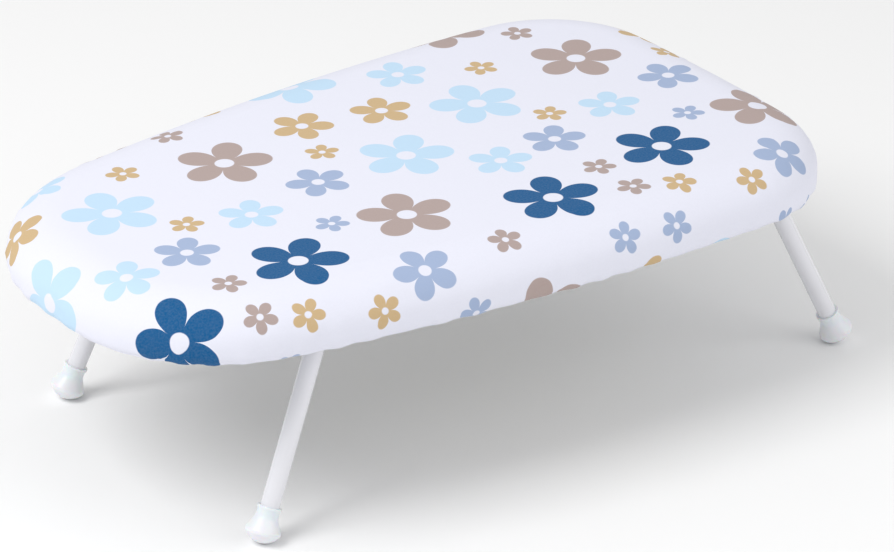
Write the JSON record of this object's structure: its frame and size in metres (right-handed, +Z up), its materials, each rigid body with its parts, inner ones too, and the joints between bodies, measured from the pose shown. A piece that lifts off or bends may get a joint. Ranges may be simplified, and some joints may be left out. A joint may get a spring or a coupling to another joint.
{
  "type": "tabletop ironing board",
  "caption": "Low tabletop ironing board: padded, printed cotton top with a rounded nose on a pressed steel frame, on folding U-shaped tube legs with flared plastic feet.",
  "frame": {"origin": "on the table, below the middle of the open board's footprint; the board's own middle lies about 9 mm towards the nose, because the tail feet stand past the board's end", "axes": "+X along the board towards the wide tail end, +Y across it to the left as seen from the tail, +Z up from the table"},
  "size_m": [0.6201, 0.37, 0.19],
  "materials": {
    "cover_cotton": "woven cotton with a printed flower pattern",
    "elastic": "covered elastic cord",
    "foam": "soft polyurethane foam",
    "frame_paint": "white powder coat",
    "mesh_paint": "pale grey powder coat",
    "leg_paint": "glossy white powder coat",
    "foot_plastic": "moulded, slightly clear white",
    "bush_nylon": "natural nylon",
    "bracket_steel": "zinc plated",
    "rivet_steel": "zinc plated"
  },
  "bodies": {
    "board": {"cover": "cover_cotton", "foam_pad": "foam", "hem_elastic": "elastic", "mesh_panel": "mesh_paint", "nose_cross_rail": "frame_paint", "nose_left_bush": "bush_nylon", "nose_left_saddle": "bracket_steel", "nose_left_stop": "bracket_steel", "nose_right_bush": "bush_nylon", "nose_right_saddle": "bracket_steel", "nose_right_stop": "bracket_steel", "nose_saddle_rivets": "rivet_steel", "nose_stop_rivets": "rivet_steel", "rim_frame": "frame_paint", "tail_cross_rail": "frame_paint", "tail_left_bush": "bush_nylon", "tail_left_saddle": "bracket_steel", "tail_left_stop": "bracket_steel", "tail_right_bush": "bush_nylon", "tail_right_saddle": "bracket_steel", "tail_right_stop": "bracket_steel", "tail_saddle_rivets": "rivet_steel", "tail_stop_rivets": "rivet_steel"},
    "nose_leg": {"nose_leg_tube": "leg_paint", "nose_left_foot": "foot_plastic", "nose_right_foot": "foot_plastic"},
    "tail_leg": {"tail_leg_tube": "leg_paint", "tail_left_foot": "foot_plastic", "tail_right_foot": "foot_plastic"}
  },
  "joints": [
    {"name": "nose_leg_fold", "type": "hinge", "parent": "board", "child": "nose_leg", "pos_m": [-0.15313, 0, 0.1626], "axis": [0, -1, 0], "range_deg": [0, 115.5]},
    {"name": "tail_leg_fold", "type": "hinge", "parent": "board", "child": "tail_leg", "pos_m": [0.22887, 0, 0.1626], "axis": [0, 1, 0], "range_deg": [0, 115.5]}
  ]
}
